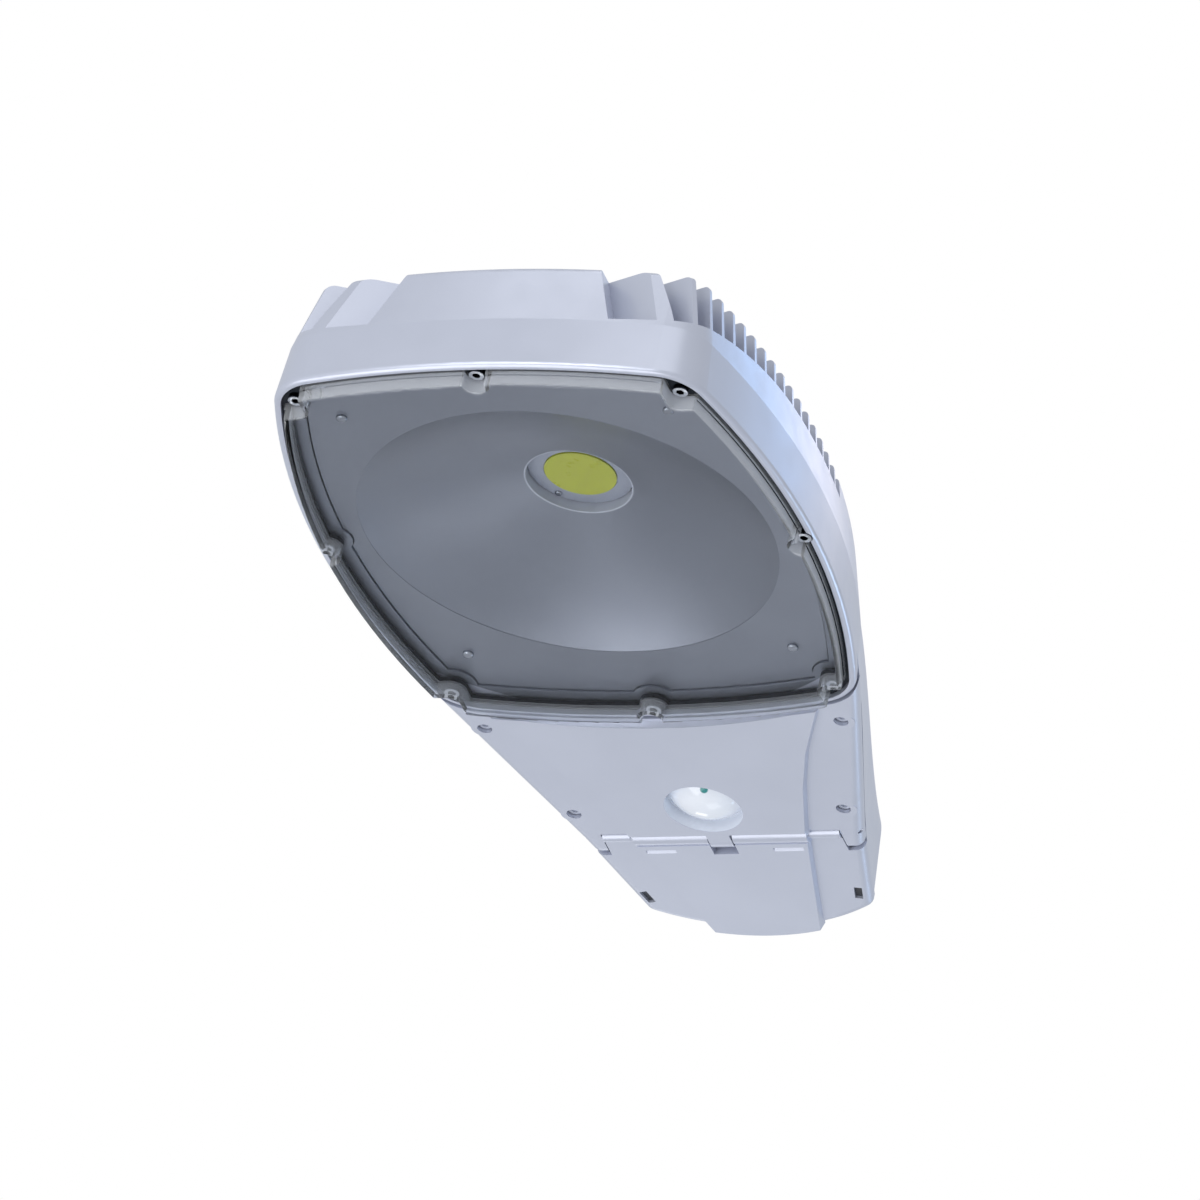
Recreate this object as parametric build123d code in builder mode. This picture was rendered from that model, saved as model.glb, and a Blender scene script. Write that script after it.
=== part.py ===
"""Street light head with one round emitter, a clear window, a driver bay and a hinged wiring door.

Millimetres. The origin lies on the axis of the lamp post's arm, half way along its clamp.
+Y runs along the arm towards the post, +Z is up, and the window faces down.
"""

import os
from math import cos, radians, sin, sqrt, tan

from build123d import *

os.makedirs("parts", exist_ok=True)

# Window outline: four bulging sides and round corners, drawn along the seal
window_half_width = 137.0
window_half_length = 163.0
window_bulge = 487.0
window_corner = 27.0

# Screws of the window
corner_screw_in_x = 5.15301462
corner_screw_in_y = 11.30047875
side_screw_in = 2.5
end_screw_in = 4.9
lens_screw_side = window_half_width - side_screw_in
lens_screw_end = window_half_length - end_screw_in
screw_radius = 2.0
screw_hole = 2.2
head_radius = 4.1
head_height_below = 3.0
thread_depth = 11.0

# Cast housing
rim_width = 4.0
rim_round = 2.5
skirt_height = 32.0
skirt_lean = 3.2
head_height = 72.0
head_lean = 13.0
top_round = 5.0
seat_height = 6.5
ledge_width = 12.0
boss_reach = 12.5
knee_height = 30.0
chamber_shoulder = 38.0
chamber_roof = 51.0
roof_height = 48.0
chamber_radius = window_half_width - 13.0
roof_radius = 62.0
pedestal_radius = 34.0
floor_wall = 6.5
spine_room_half = 42.0
spine_room_top = 64.0
root_room_half = 78.0
root_room_in = 73.0

# Cooling fins and the slots between them
floor_height = 57.5
floor_tip_height = 32.0
floor_bend_y = 133.0 - window_half_length
spine_half_low = 69.0
spine_half_high = 54.0
fin_root = 3.4
fin_tip = 1.8
front_fin_root = 6.4
front_fin_tip = 2.6
fin_sweep = 22.0
fin_pitch = 12.5
front_fin_y = 49.8 - window_half_length
front_fin_step = 14.0
fin_count = 18

# Arm of the housing, from the back of the window to its tail
cover_front_half = window_half_width - 19.8
cover_front_y = window_half_length - 9.0
driver_bay_length = 128.0
wiring_bay_length = 71.0
tail_bulge = 18.3
hinge_half = 79.8
hinge_line_y = cover_front_y + driver_bay_length
door_rear_half = 63.6
door_rear_y = hinge_line_y + wiring_bay_length
tail_radius = 112.0
tail_y = door_rear_y + tail_bulge
tail_height = 80.0
tail_corner = 7.0
arm_lean_front = 0.17
arm_lean_rear = 0.10
arm_shoulder_y = cover_front_y - 50.0
shoulder_front = 12.0
shoulder_rear = 30.0
arm_wall = 5.5
bay_front_y = window_half_length + 15.0
bay_roof = 64.0
wiring_roof = 46.0

# Clamp for the lamp post's arm
pipe_radius = 30.0
pipe_height = 42.0
clamp_clearance = 0.2
clamp_length = 40.0
clamp_back = 28.0
optic_to_clamp = door_rear_y - clamp_back
pipe_stop_y = optic_to_clamp - 0.5 * clamp_length - 2.0
clamp_wall = 4.0
clamp_gap = 3.2
clamp_ear = 3.4
bolt_x = 41.0
bolt_radius = 3.0

# Covers under the arm
lip_height = 8.5
cover_top = 7.0
flat_level = 0.0
plateau_level = -3.7
cover_wall = 2.5
cover_gap = 0.8
edge_round = 5.4
cover_side_wall = 6.0
cover_screw_front_y = cover_front_y + 19.9
cover_screw_rear_y = hinge_line_y - 25.1
cover_screw_front_in = 10.28546875
cover_screw_rear_in = 10.53390625
cover_seat = 5.2
cover_head = 2.8
cover_head_radius = 3.5

# Hinge of the wiring door
hinge_y = hinge_line_y - 0.8
hinge_z = 2.2
barrel_radius = 3.6
hinge_pin_radius = 1.5
pin_clearance = 0.08
tab_half = 6.5
tab_end = hinge_y + 9.8
ear_inner = 68.0
ear_end = hinge_y + 14.8
slit = 0.6
panel_half_at_hinge = 50.0
cover_rear_y = hinge_y - barrel_radius - slit
bulkhead_rear_y = hinge_y - 5.2
bulkhead_front_y = bulkhead_rear_y - 8.0

# Window pane
lens_gap = 0.7
flange_low = 2.5
flange_top = 5.0
tray_inset = 2.2
tray_step = 0.8
step_level = -1.7
pane_level = -8.6
pane_wall = 2.6
pocket_radius = 5.9
pocket_wall = 2.2
pane_round = 1.6

# Light engine
emitter_radius = 19.6
emitter_level = 44.6
board_size = 46.0
board_top = 47.5
board_bottom = 46.2
ring_thickness = 0.9
bowl_radius = window_half_width - 22.5
bowl_rim_height = 7.5
ring_radius = 28.9
ring_level = 39.8
sheet = 1.1
post_x = window_half_width - 45.0
post_y = window_half_length - 51.0

# Driver
driver_width = 118.0
driver_length = 52.0
driver_height = 32.0
driver_flange_width = 142.0
driver_flange_length = 40.0
driver_flange_thickness = 2.0
driver_screw_x = 66.0
driver_screw_y = 14.0

# Blocks in the wiring bay
block_x = 49.0
block_width = 24.0
block_length = 18.0
block_y = pipe_stop_y - 2.0 - 0.5 * block_length
block_depth = 21.0

# Sensor under the driver cover
sensor_y = hinge_line_y - 32.5
sensor_recess = 21.5
sensor_wall = 2.0
sensor_depth = 8.0
dome_radius = 18.0


def level(height):
    """Plane at a height above the rim, with its origin under the emitter."""
    return Plane(origin=(0, -optic_to_clamp, height - pipe_height))


def across(y):
    """Upright plane across the head, at a distance behind the emitter."""
    return Plane(
        origin=(0, y - optic_to_clamp, -pipe_height), x_dir=(1, 0, 0), z_dir=(0, -1, 0)
    )


def along(x):
    """Upright plane along the head: its x is the distance behind the emitter."""
    return Plane(
        origin=(x, -optic_to_clamp, -pipe_height), x_dir=(0, 1, 0), z_dir=(1, 0, 0)
    )


def window_corner_point(inset=0.0):
    """Point where a side and an end of the window outline would meet without a round corner."""
    radius = window_bulge - inset
    side_centre = window_half_width - window_bulge
    end_centre = window_half_length - window_bulge
    slope = side_centre / end_centre
    shift = (end_centre**2 - side_centre**2) / (2 * end_centre)
    a = 1 + slope**2
    b = 2 * slope * shift - 2 * side_centre
    c = shift**2 + side_centre**2 - radius**2
    corner_x = (-b + sqrt(b * b - 4 * a * c)) / (2 * a)
    return corner_x, slope * corner_x + shift


def window(height, inset=0.0, scallop=0.0, end_scallop=0.0):
    """Window outline at a height, set in from the seal line, dipping round the screws."""
    corner_x, corner_y = window_corner_point(inset)
    half_width = window_half_width - inset
    half_length = window_half_length - inset
    reach = 40.0
    with BuildSketch(level(height)) as outline:
        with BuildLine():
            ThreePointArc((corner_x, -corner_y), (half_width, 0), (corner_x, corner_y))
            ThreePointArc((corner_x, corner_y), (0, half_length), (-corner_x, corner_y))
            ThreePointArc((-corner_x, corner_y), (-half_width, 0), (-corner_x, -corner_y))
            ThreePointArc((-corner_x, -corner_y), (0, -half_length), (corner_x, -corner_y))
        make_face()
        fillet(outline.vertices(), window_corner - inset)
        if scallop:
            away = reach - scallop
            for sx in (-1, 1):
                for sy in (-1, 1):
                    with Locations((sx * (lens_screw_x + away), sy * (lens_screw_y + away))):
                        RectangleRounded(2 * reach, 2 * reach, scallop - 0.01, mode=Mode.SUBTRACT)
                with Locations((sx * (lens_screw_side + away), 0)):
                    RectangleRounded(2 * reach, 2 * scallop, scallop - 0.01, mode=Mode.SUBTRACT)
        if end_scallop:
            away = reach - end_scallop
            for sy in (-1, 1):
                with Locations((0, sy * (lens_screw_end + away))):
                    RectangleRounded(
                        2 * end_scallop, 2 * reach, end_scallop - 0.01, mode=Mode.SUBTRACT
                    )
    return outline.sketch


def discs(height, places, radius):
    """Round discs at a height, at the given places."""
    with BuildSketch(level(height)) as spots:
        with Locations(*places):
            Circle(radius)
    return spots.sketch


def oblong(height, width, length, y, x=0.0):
    """Rectangle at a height, centred behind the emitter."""
    with BuildSketch(level(height)) as shape:
        with Locations((x, y)):
            Rectangle(width, length)
    return shape.sketch


def arm_half(y):
    """Half-width of the arm's outline at a distance behind the emitter."""
    if y <= hinge_line_y:
        share = (y - cover_front_y) / (hinge_line_y - cover_front_y)
        return cover_front_half + share * (hinge_half - cover_front_half)
    share = (y - hinge_line_y) / (door_rear_y - hinge_line_y)
    return hinge_half + share * (door_rear_half - hinge_half)


def arm_strip(height, front, rear, inset=0.0):
    """Plan of a stretch of the arm, set in from its sides."""
    stations = [front]
    if front < hinge_line_y < rear:
        stations.append(hinge_line_y)
    stations.append(rear)
    right = [(arm_half(y) - inset, y) for y in stations]
    left = [(-x, y) for x, y in reversed(right)]
    with BuildSketch(level(height)) as plan:
        with BuildLine():
            Polyline(*right, *left, close=True)
        make_face()
    return plan.sketch


def arm_section(y, half_width, low, high, lean, shoulder):
    """Cross-section of the arm, with round shoulders."""
    top = half_width - lean * (high - low)
    with BuildSketch(across(y)) as section:
        with BuildLine():
            Polyline((-half_width, low), (half_width, low), (top, high), (-top, high), close=True)
        make_face()
        fillet(section.vertices().group_by(Axis.Y)[-1], shoulder)
    return section.sketch


def tail_plan(height, front, inset=0.0):
    """Plan of the rear end of the arm: straight sides, a wide arc and round corners."""
    centre_y = tail_y - tail_radius
    radius = tail_radius - inset
    slope = (hinge_half - door_rear_half) / (door_rear_y - hinge_line_y)
    half = arm_half(front) - inset
    a = 1 + slope**2
    b = -2 * (slope * half + centre_y - front)
    c = half**2 + (centre_y - front) ** 2 - radius**2
    run = (-b + sqrt(b * b - 4 * a * c)) / (2 * a)
    corner = (half - slope * run, front + run)
    with BuildSketch(level(height)) as plan:
        with BuildLine():
            Polyline((-corner[0], corner[1]), (-half, front), (half, front), corner)
            ThreePointArc(corner, (0, centre_y + radius), (-corner[0], corner[1]))
        make_face()
        fillet(plan.vertices().group_by(Axis.Y)[-1], tail_corner)
    return plan.sketch


def fin_line(index):
    """Distance behind the emitter at which a fin leaves the spine."""
    if index == 0:
        return front_fin_y
    return front_fin_y + front_fin_step + fin_pitch * (index - 1)


seal_corner = window_corner_point()
lens_screw_x = seal_corner[0] - corner_screw_in_x
lens_screw_y = seal_corner[1] - corner_screw_in_y
corner_places = [(sx * lens_screw_x, sy * lens_screw_y) for sx in (-1, 1) for sy in (-1, 1)]
middle_places = [
    (-lens_screw_side, 0),
    (lens_screw_side, 0),
    (0, -lens_screw_end),
    (0, lens_screw_end),
]
screw_places = corner_places + middle_places
cover_screw_front_x = arm_half(cover_screw_front_y) - cover_screw_front_in
cover_screw_rear_x = arm_half(cover_screw_rear_y) - cover_screw_rear_in
cover_places = [
    (-cover_screw_front_x, cover_screw_front_y),
    (cover_screw_front_x, cover_screw_front_y),
    (-cover_screw_rear_x, cover_screw_rear_y),
    (cover_screw_rear_x, cover_screw_rear_y),
]
post_places = [(sx * post_x, sy * post_y) for sx in (-1, 1) for sy in (-1, 1)]
driver_y = 0.5 * (bay_front_y + bulkhead_front_y) - 7
driver_places = [
    (sx * driver_screw_x, driver_y + sy * driver_screw_y) for sx in (-1, 1) for sy in (-1, 1)
]
block_places = [(-block_x, block_y), (block_x, block_y)]
bolt_places = [(-bolt_x, optic_to_clamp), (bolt_x, optic_to_clamp)]
dome_place = [(0, sensor_y)]
emitter_place = [(0, 0)]

# Slots between the fins: their floor falls towards the tip of the head
cutter_top = head_height + 53
floor_drop = floor_height - floor_tip_height
floor_run = floor_bend_y + window_half_length
floor_radius = (floor_run**2 + floor_drop**2) / (2 * floor_drop)
slot_reach = window_half_width + 43
half_run = 0.5 * floor_run
half_drop = floor_radius - sqrt(floor_radius**2 - half_run**2)


def slot_floor(y):
    """Height of the slots' floor at a distance behind the emitter."""
    back = max(0.0, floor_bend_y - y)
    return floor_height - floor_radius + sqrt(floor_radius**2 - back**2)


def slot_plan(height, side, index, root, front_root):
    """Plan of one swept slot at a height, between fins of the given thickness there."""
    run = slot_reach * tan(radians(fin_sweep))
    front = -window_half_length - 60.0
    if index == 1:
        front = fin_line(0) + 0.5 * front_root
    elif index > 1:
        front = fin_line(index - 1) + 0.5 * root
    end = fin_line(index) - 0.5 * (front_root if index == 0 else root)
    with BuildSketch(level(height)) as plan:
        with BuildLine():
            Polyline(
                (0, front),
                (side * slot_reach, front - run),
                (side * slot_reach, end - run),
                (0, end),
                close=True,
            )
        make_face()
    return plan.sketch


slot_cuts = []
for side in (-1, 1):
    for index in range(fin_count):
        slot_foot = slot_plan(floor_tip_height - 2, side, index, fin_root, front_fin_root)
        slot_mouth = slot_plan(head_height + 2, side, index, fin_tip, front_fin_tip)
        slot_cuts.append((slot_foot, slot_mouth))
with BuildPart() as slots:
    with BuildSketch(along(-slot_reach)):
        with BuildLine():
            ThreePointArc(
                (-window_half_length, floor_tip_height),
                (floor_bend_y - half_run, floor_height - half_drop),
                (floor_bend_y, floor_height),
            )
            Polyline(
                (floor_bend_y, floor_height),
                (window_half_length, floor_height),
                (window_half_length, cutter_top - 5),
                (-window_half_length - 40, cutter_top - 5),
                (-window_half_length - 40, floor_tip_height),
                (-window_half_length, floor_tip_height),
            )
        make_face()
    extrude(amount=2 * slot_reach)
    with BuildSketch(across(-window_half_length - 60)):
        with BuildLine():
            Polyline(
                (-spine_half_low, floor_tip_height - 2),
                (spine_half_low, floor_tip_height - 2),
                (spine_half_high, head_height),
                (spine_half_high, cutter_top),
                (-spine_half_high, cutter_top),
                (-spine_half_high, head_height),
                close=True,
            )
        make_face()
    extrude(amount=-400, mode=Mode.SUBTRACT)
with BuildPart() as slot_wedges:
    for slot_foot, slot_mouth in slot_cuts:
        loft([slot_foot, slot_mouth], ruled=True)
with BuildPart() as slot_room:
    add(slots.part)
    add(slot_wedges.part, mode=Mode.INTERSECT)

# Cast housing: outer shape
rim_outline = window(0, -rim_width)
waist_outline = window(skirt_height, skirt_lean - rim_width)
crown_outline = window(head_height, head_lean - rim_width)
arm_sections = [
    arm_section(
        arm_shoulder_y,
        arm_half(arm_shoulder_y) - 3,
        lip_height,
        head_height - 0.5,
        0.3,
        shoulder_front,
    ),
    arm_section(
        cover_front_y + 40,
        arm_half(cover_front_y + 40),
        lip_height,
        head_height + 2,
        arm_lean_front,
        18,
    ),
    arm_section(
        hinge_line_y, hinge_half, lip_height, tail_height - 2, arm_lean_rear, shoulder_rear
    ),
    arm_section(
        tail_y + 6, arm_half(tail_y + 6), lip_height, tail_height, arm_lean_rear, shoulder_rear
    ),
]
tail_outline = tail_plan(-20, hinge_line_y)
with BuildPart() as head_shape:
    loft([rim_outline, waist_outline], ruled=True)
    loft([waist_outline, crown_outline], ruled=True)
    fillet(head_shape.faces().sort_by(Axis.Z)[-1].edges(), top_round)
    fillet(head_shape.faces().sort_by(Axis.Z)[0].edges(), rim_round)
front_block = oblong(-20, 400, hinge_line_y + 40, 0.5 * (hinge_line_y - 40))
with BuildPart() as arm_trim:
    extrude(tail_outline, amount=140)
    extrude(front_block, amount=140)
with BuildPart() as arm_shape:
    loft(arm_sections)
    add(arm_trim.part, mode=Mode.INTERSECT)

# Cast housing: hollows
seat_outline = window(-10)
chamber_outline = window(seat_height, ledge_width, boss_reach, boss_reach)
post_foot = bowl_rim_height + sheet
post_spots = [discs(post_foot, [(-post_x, y), (post_x, y)], 5) for y in (-post_y, post_y)]
post_reach = [slot_floor(y) - 0.5 * floor_wall - post_foot for y in (-post_y, post_y)]
bay_low = arm_strip(-1, bay_front_y, bulkhead_front_y, arm_wall + 1)
bay_high = arm_strip(bay_roof, bay_front_y + 4, bulkhead_front_y, arm_wall + 13)
cover_boss_spots = discs(lip_height, cover_places, 7.5)
wiring_low = arm_strip(-1, bulkhead_rear_y, tail_y, arm_wall)
wiring_high = arm_strip(wiring_roof, bulkhead_rear_y, tail_y, arm_wall + 5)
wiring_front = oblong(-1, 300, 12, bulkhead_rear_y + 6)
tail_inner = tail_plan(-1, bulkhead_rear_y + 10, arm_wall)
screw_heads = discs(-10, screw_places, head_radius + 0.6)
screw_bores = discs(0, screw_places, screw_radius)
cover_bores = discs(0, cover_places, screw_radius)
post_bores = discs(0, post_places, 1.5)
driver_bores = discs(bay_roof - 2, driver_places, 1.7)
block_bores = discs(wiring_roof - 2, block_places, 1.5)
bolt_bores = discs(wiring_roof - 2, bolt_places, bolt_radius)
board_bores = discs(roof_height - 2, [(-18, 18), (18, -18)], 1.2)
with BuildPart() as cover_bosses:
    extrude(cover_boss_spots, amount=bay_roof)
    add(arm_shape.part, mode=Mode.INTERSECT)
with BuildPart() as wiring_trim:
    extrude(tail_inner, amount=100)
    extrude(wiring_front, amount=100)
with BuildPart() as wiring_bay:
    loft([wiring_low, wiring_high], ruled=True)
    add(wiring_trim.part, mode=Mode.INTERSECT)
with BuildSketch(along(-window_half_width)) as chamber_side:
    with BuildLine():
        ThreePointArc(
            (-window_half_length, floor_tip_height - floor_wall),
            (floor_bend_y - half_run, floor_height - half_drop - floor_wall),
            (floor_bend_y, floor_height - floor_wall),
        )
        Polyline(
            (floor_bend_y, floor_height - floor_wall),
            (window_half_length, floor_height - floor_wall),
            (window_half_length, 0),
            (-window_half_length, 0),
            (-window_half_length, floor_tip_height - floor_wall),
        )
    make_face()
pedestal_spot = discs(chamber_shoulder, emitter_place, pedestal_radius + 14)
spine_room = oblong(
    knee_height, 2 * spine_room_half, window_half_length - 100, -0.5 * window_half_length - 17
)
root_room_front = window_half_length - root_room_in
root_room_rear = bay_front_y - 10
root_room_y = 0.5 * (root_room_front + root_room_rear)
root_room = oblong(
    knee_height, 2 * root_room_half, root_room_rear - root_room_front, root_room_y
)
with BuildPart() as upper_chamber:
    extrude(chamber_outline, amount=60)
    extrude(chamber_side.sketch, amount=2 * window_half_width, mode=Mode.INTERSECT)
    extrude(pedestal_spot, amount=60, mode=Mode.SUBTRACT)
with BuildPart() as housing:
    add(head_shape.part)
    add(slot_room.part, mode=Mode.SUBTRACT)
    add(arm_shape.part)
    extrude(seat_outline, amount=seat_height + 10, mode=Mode.SUBTRACT)
    extrude(screw_heads, amount=10 + flange_low, mode=Mode.SUBTRACT)
    extrude(chamber_outline, amount=knee_height - seat_height, mode=Mode.SUBTRACT)
    with BuildSketch(along(0)):
        with BuildLine():
            Polyline(
                (0, knee_height - 1),
                (chamber_radius, knee_height - 1),
                (chamber_radius, chamber_shoulder),
                (roof_radius, chamber_roof),
                (pedestal_radius, chamber_roof),
                (pedestal_radius, roof_height),
                (0, roof_height),
                close=True,
            )
        make_face()
    revolve(axis=Axis((0, -optic_to_clamp, 0), (0, 0, 1)), mode=Mode.SUBTRACT)
    add(upper_chamber.part, mode=Mode.SUBTRACT)
    extrude(spine_room, amount=spine_room_top - knee_height, mode=Mode.SUBTRACT)
    extrude(root_room, amount=spine_room_top - knee_height, mode=Mode.SUBTRACT)
    for spots, reach in zip(post_spots, post_reach):
        extrude(spots, amount=reach)
    loft([bay_low, bay_high], ruled=True, mode=Mode.SUBTRACT)
    add(cover_bosses.part)
    add(wiring_bay.part, mode=Mode.SUBTRACT)
    with BuildSketch(across(pipe_stop_y)):
        with Locations((0, pipe_height)):
            Circle(pipe_radius + clamp_clearance)
    extrude(amount=-100, mode=Mode.SUBTRACT)
    with BuildSketch(across(bulkhead_front_y - 1)):
        with Locations((-30, 30)):
            Circle(9)
    extrude(amount=-12, mode=Mode.SUBTRACT)
    extrude(screw_bores, amount=seat_height + thread_depth, mode=Mode.SUBTRACT)
    extrude(cover_bores, amount=lip_height + 14, mode=Mode.SUBTRACT)
    extrude(post_bores, amount=bowl_rim_height + 12, mode=Mode.SUBTRACT)
    extrude(driver_bores, amount=9, mode=Mode.SUBTRACT)
    extrude(block_bores, amount=10, mode=Mode.SUBTRACT)
    extrude(bolt_bores, amount=20, mode=Mode.SUBTRACT)
    extrude(board_bores, amount=8, mode=Mode.SUBTRACT)
housing.part.label = "housing"
export_step(housing.part, "parts/housing.step")


def socket_screws(places, seat, head, head_size, shank, length):
    """Hexagon socket screws pointing up, their heads below a seat."""
    heads = discs(seat - head, places, head_size)
    shanks = discs(seat, places, shank)
    with BuildSketch(level(seat - head)) as sockets:
        with Locations(*places):
            RegularPolygon(0.58 * head_size, 6)
    with BuildPart() as screws:
        extrude(heads, amount=head)
        extrude(shanks, amount=length)
        extrude(sockets.sketch, amount=0.6 * head, mode=Mode.SUBTRACT)
    return screws.part


def pan_screws(places, seat, head, head_size, shank, length):
    """Small round-headed screws pointing up."""
    heads = discs(seat - head, places, head_size)
    shanks = discs(seat, places, shank)
    with BuildPart() as screws:
        extrude(heads, amount=head)
        fillet(screws.edges().group_by(Axis.Z)[0], 0.6 * head)
        extrude(shanks, amount=length)
    return screws.part


# Clear window: a shallow tray whose wall dips round each screw
flange_outline = window(flange_low, lens_gap)
tray_outline = window(step_level, tray_inset, pocket_radius, pocket_radius)
pane_outline = window(pane_level, tray_inset + tray_step, pocket_radius, pocket_radius)
tray_hollow = window(
    pane_level + pane_wall,
    tray_inset + tray_step + pane_wall,
    pocket_radius + pocket_wall,
    pocket_radius + pocket_wall,
)
flange_holes = discs(0, screw_places, screw_hole)
with BuildPart() as lens:
    extrude(pane_outline, amount=step_level - pane_level)
    fillet(lens.faces().sort_by(Axis.Z)[0].edges(), pane_round)
    extrude(tray_outline, amount=flange_low - step_level)
    extrude(flange_outline, amount=flange_top - flange_low)
    extrude(tray_hollow, amount=30, mode=Mode.SUBTRACT)
    extrude(flange_holes, amount=10, mode=Mode.SUBTRACT)
lens.part.label = "lens"
export_step(lens.part, "parts/lens.step")

# Seal of the window, passing inside the corner and side screws
seal_outer = window(flange_top, 1.0, 4.4)
seal_inner = window(flange_top, 2.6, 6.0)
with BuildPart() as lens_gasket:
    extrude(seal_outer, amount=seat_height - flange_top)
    extrude(seal_inner, amount=seat_height - flange_top, mode=Mode.SUBTRACT)
lens_gasket.part.label = "lens_gasket"
export_step(lens_gasket.part, "parts/lens_gasket.step")

# Screws of the window
lens_screw_set = socket_screws(
    screw_places, flange_low, head_height_below, head_radius, screw_radius, 13.5
)
with BuildPart() as lens_screws:
    add(lens_screw_set)
lens_screws.part.label = "lens_screws"
export_step(lens_screws.part, "parts/lens_screws.step")

# Bowl reflector with its flat surround
surround_outline = window(bowl_rim_height, ledge_width + 0.6, boss_reach + 0.6, boss_reach + 0.6)
surround_opening = discs(bowl_rim_height - 1, emitter_place, bowl_radius - 0.5)
surround_holes = discs(bowl_rim_height - 1, post_places, 1.7)
with BuildPart() as reflector:
    extrude(surround_outline, amount=sheet)
    extrude(surround_opening, amount=10, mode=Mode.SUBTRACT)
    with BuildSketch(along(0)):
        with BuildLine():
            Spline(
                (bowl_radius, bowl_rim_height),
                (95, 17.5),
                (62, 30.0),
                (ring_radius, ring_level),
            )
            Polyline(
                (ring_radius, ring_level),
                (ring_radius, board_bottom - 0.3),
                (ring_radius + sheet, board_bottom - 0.3),
                (ring_radius + sheet, ring_level + 1.0),
            )
            Spline(
                (ring_radius + sheet, ring_level + 1.0),
                (62.6, 31.2),
                (95.6, 18.7),
                (bowl_radius + sheet, bowl_rim_height + 0.4),
            )
            Line((bowl_radius + sheet, bowl_rim_height + 0.4), (bowl_radius, bowl_rim_height))
        make_face()
    revolve(axis=Axis((0, -optic_to_clamp, 0), (0, 0, 1)))
    extrude(surround_holes, amount=10, mode=Mode.SUBTRACT)
reflector.part.label = "reflector"
export_step(reflector.part, "parts/reflector.step")

reflector_screw_set = pan_screws(post_places, bowl_rim_height, 1.8, 3.0, 1.5, 11)
with BuildPart() as reflector_screws:
    add(reflector_screw_set)
reflector_screws.part.label = "reflector_screws"
export_step(reflector_screws.part, "parts/reflector_screws.step")

# Emitter with its ring, board and thermal pad
ring_places = [(-18, 18), (18, -18)]
with BuildPart() as emitter:
    with BuildSketch(level(emitter_level)):
        Circle(emitter_radius)
    extrude(amount=board_bottom - emitter_level)
emitter.part.label = "emitter"
export_step(emitter.part, "parts/emitter.step")

with BuildPart() as emitter_ring:
    with BuildSketch(level(board_bottom - ring_thickness)):
        Circle(ring_radius - 0.6)
        Circle(emitter_radius + 0.5, mode=Mode.SUBTRACT)
        with Locations(*ring_places):
            Circle(1.35, mode=Mode.SUBTRACT)
    extrude(amount=ring_thickness)
emitter_ring.part.label = "emitter_ring"
export_step(emitter_ring.part, "parts/emitter_ring.step")

with BuildPart() as emitter_board:
    with BuildSketch(level(board_bottom)):
        RectangleRounded(board_size, board_size, 2)
        with Locations(*ring_places):
            Circle(1.35, mode=Mode.SUBTRACT)
    extrude(amount=board_top - board_bottom)
emitter_board.part.label = "emitter_board"
export_step(emitter_board.part, "parts/emitter_board.step")

with BuildPart() as thermal_pad:
    with BuildSketch(level(board_top)):
        Rectangle(board_size - 2, board_size - 2)
        with Locations(*ring_places):
            Circle(1.35, mode=Mode.SUBTRACT)
    extrude(amount=roof_height - board_top)
thermal_pad.part.label = "thermal_pad"
export_step(thermal_pad.part, "parts/thermal_pad.step")

emitter_screw_set = pan_screws(
    ring_places, board_bottom - ring_thickness, 1.0, 2.1, 1.2, 8
)
with BuildPart() as emitter_screws:
    add(emitter_screw_set)
emitter_screws.part.label = "emitter_screws"
export_step(emitter_screws.part, "parts/emitter_screws.step")

# Driver hung under the roof of its bay
driver_body = oblong(bay_roof - driver_height, driver_width, driver_length, driver_y)
driver_flange = oblong(
    bay_roof - driver_flange_thickness, driver_flange_width, driver_flange_length, driver_y
)
driver_holes = discs(bay_roof - driver_flange_thickness - 1, driver_places, 1.9)
with BuildPart() as driver_case:
    extrude(driver_body, amount=driver_height)
    fillet(driver_case.edges().group_by(Axis.Z)[0], 2)
    extrude(driver_flange, amount=driver_flange_thickness)
    extrude(driver_holes, amount=6, mode=Mode.SUBTRACT)
driver_case.part.label = "driver_case"
export_step(driver_case.part, "parts/driver_case.step")

driver_screw_set = pan_screws(
    driver_places, bay_roof - driver_flange_thickness, 2.0, 3.2, 1.7, 8
)
with BuildPart() as driver_screws:
    add(driver_screw_set)
driver_screws.part.label = "driver_screws"
export_step(driver_screws.part, "parts/driver_screws.step")

# Terminal block, surge protector and their screws
terminal_body = oblong(wiring_roof - block_depth, block_width, block_length, block_y, -block_x)
surge_body = oblong(wiring_roof - block_depth, block_width, block_length, block_y, block_x)
block_holes = discs(wiring_roof - block_depth - 1, block_places, 1.7)
terminal_wells = [(-block_x + dx, block_y + dy) for dx in (-8, 8) for dy in (-5.5, 0, 5.5)]
well_spots = discs(wiring_roof - block_depth - 1, terminal_wells, 1.9)
with BuildPart() as terminal_block:
    extrude(terminal_body, amount=block_depth)
    chamfer(terminal_block.edges().group_by(Axis.Z)[0], 1)
    extrude(well_spots, amount=9, mode=Mode.SUBTRACT)
    extrude(block_holes, amount=30, mode=Mode.SUBTRACT)
terminal_block.part.label = "terminal_block"
export_step(terminal_block.part, "parts/terminal_block.step")

with BuildPart() as surge_protector:
    extrude(surge_body, amount=block_depth)
    fillet(surge_protector.edges().group_by(Axis.Z)[0], 2)
    extrude(block_holes, amount=30, mode=Mode.SUBTRACT)
surge_protector.part.label = "surge_protector"
export_step(surge_protector.part, "parts/surge_protector.step")

block_screw_set = pan_screws(
    block_places, wiring_roof - block_depth, 1.8, 3.0, 1.5, block_depth + 7
)
with BuildPart() as block_screws:
    add(block_screw_set)
block_screws.part.label = "block_screws"
export_step(block_screws.part, "parts/block_screws.step")

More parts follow.
